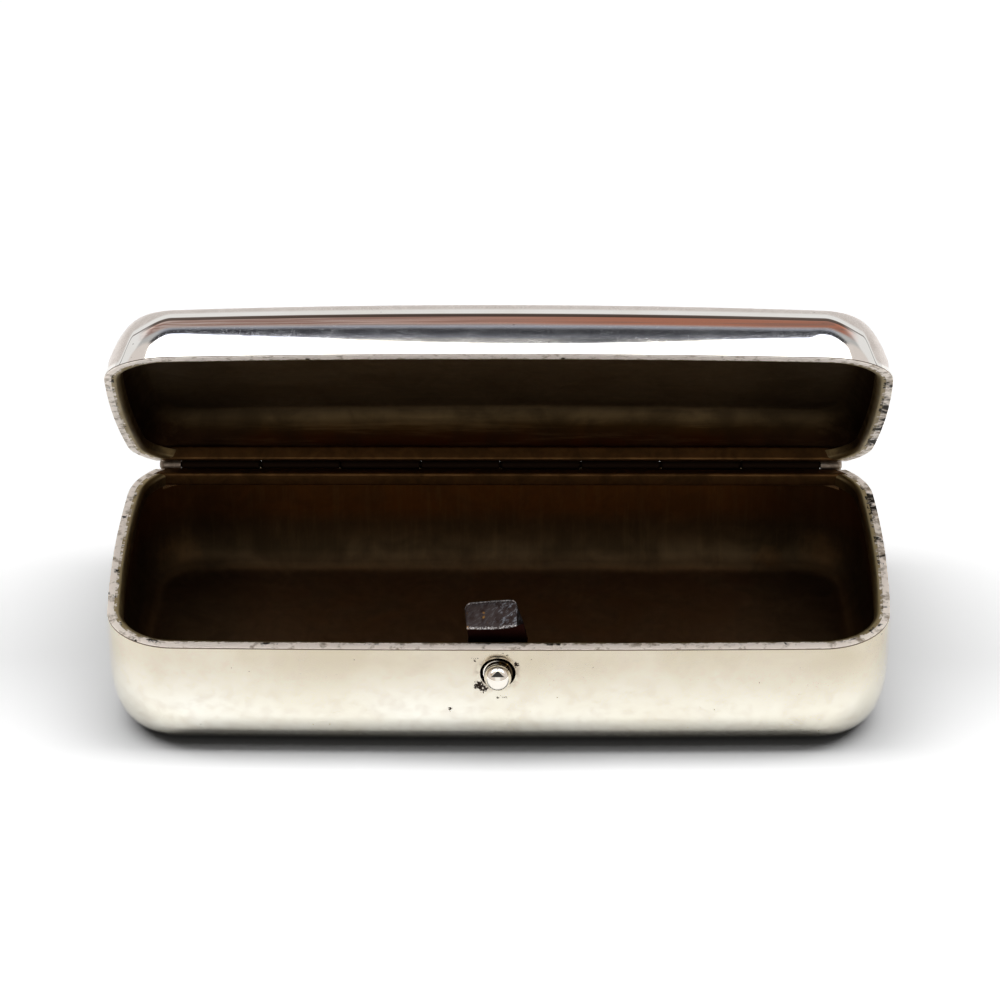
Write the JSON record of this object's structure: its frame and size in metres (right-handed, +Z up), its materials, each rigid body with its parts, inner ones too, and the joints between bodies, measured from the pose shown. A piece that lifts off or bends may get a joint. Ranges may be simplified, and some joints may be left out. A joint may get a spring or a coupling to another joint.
{
  "type": "snuff box",
  "caption": "Oblong bowed snuff box with a hinged lid on a flush knuckled hinge, gilt inside, and a spring catch worked by a ball push button.",
  "frame": {"origin": "middle of the flat underside of the base", "axes": "+X along the length to the right, +Y to the hinge at the back, +Z up"},
  "size_m": [0.1, 0.052, 0.0522],
  "materials": {
    "polished_silver": "polished",
    "hinge_silver": "satin",
    "worn_gilt": "satin",
    "dark_steel": "satin"
  },
  "bodies": {
    "base": {"base_shell": "polished_silver", "base_knuckle_1": "hinge_silver", "base_knuckle_2": "hinge_silver", "base_knuckle_3": "hinge_silver", "base_knuckle_4": "hinge_silver", "hinge_pin": "hinge_silver", "hinge_plug_left": "hinge_silver", "hinge_plug_right": "hinge_silver", "base_mouth_band": "worn_gilt", "base_joint_bearer": "worn_gilt", "catch_block": "worn_gilt", "catch_rivet_left": "dark_steel", "catch_rivet_right": "dark_steel"},
    "lid": {"lid_shell": "polished_silver", "lid_knuckle_1": "hinge_silver", "lid_knuckle_2": "hinge_silver", "lid_knuckle_3": "hinge_silver", "lid_knuckle_4": "hinge_silver", "lid_mouth_band": "worn_gilt", "lid_joint_bearer": "worn_gilt"},
    "catch": {"catch_spring": "dark_steel", "push_button": "polished_silver", "button_washer": "dark_steel"}
  },
  "joints": [
    {"name": "lid_hinge", "type": "hinge", "parent": "base", "child": "lid", "pos_m": [0, 0.0219, 0.016], "axis": [-1, 0, 0], "range_deg": [-47.5, 47.5], "deforming": ["catch_spring"]},
    {"name": "catch_flex", "type": "hinge", "parent": "base", "child": "catch", "pos_m": [0, -0.0203, 0.007], "axis": [-1, 0, 0], "range_deg": [0, 5], "stiffness_Nm_per_rad": 0.05, "deforming": ["catch_spring"]}
  ]
}
